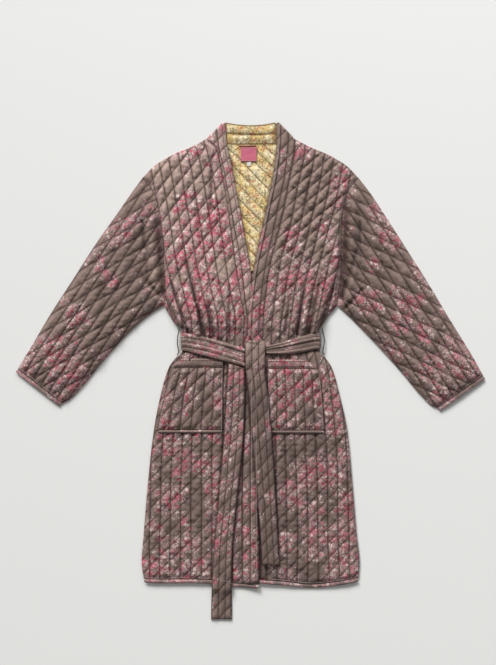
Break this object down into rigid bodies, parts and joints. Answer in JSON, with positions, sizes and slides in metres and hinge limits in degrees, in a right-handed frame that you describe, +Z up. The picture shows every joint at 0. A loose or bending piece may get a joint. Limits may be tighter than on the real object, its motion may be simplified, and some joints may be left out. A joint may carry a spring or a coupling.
{
  "type": "quilted wrap long jacket",
  "caption": "Long quilted open-front wrap jacket with wide sleeves, patch pockets, shaped front bands and a tied fabric belt, laid flat on its back.",
  "frame": {"origin": "centre of the outline on the surface that the jacket lies on", "axes": "+Z up, out of the front of the jacket; +Y from the hem to the collar; +X towards the wearer's left sleeve"},
  "size_m": [1.0794, 1.1411, 0.0211],
  "materials": {
    "print": "matte",
    "lining": "matte",
    "binding": "matte",
    "label": "matte",
    "tab": "matte",
    "hanger": "matte",
    "thread": "matte"
  },
  "bodies": {
    "root": {"back": "print", "lining_back": "lining", "collar": "lining", "front_right": "print", "front_left": "print", "band_right": "print", "band_left": "print", "sleeve_right": "print", "sleeve_left": "print", "cuff_right": "binding", "cuff_left": "binding", "hem_back": "binding", "hem_right": "binding", "hem_left": "binding", "pocket_right": "print", "pocket_left": "print", "pocket_top_right": "print", "pocket_top_left": "print", "pocket_piping_right": "binding", "pocket_piping_left": "binding", "belt_back": "print", "belt_right": "print", "belt_left": "print", "belt_knot": "print", "belt_end_right": "print", "belt_end_left": "print", "belt_loop_right": "thread", "belt_loop_left": "thread", "label": "label", "size_tab": "tab", "hang_loop": "hanger"}
  },
  "joints": []
}
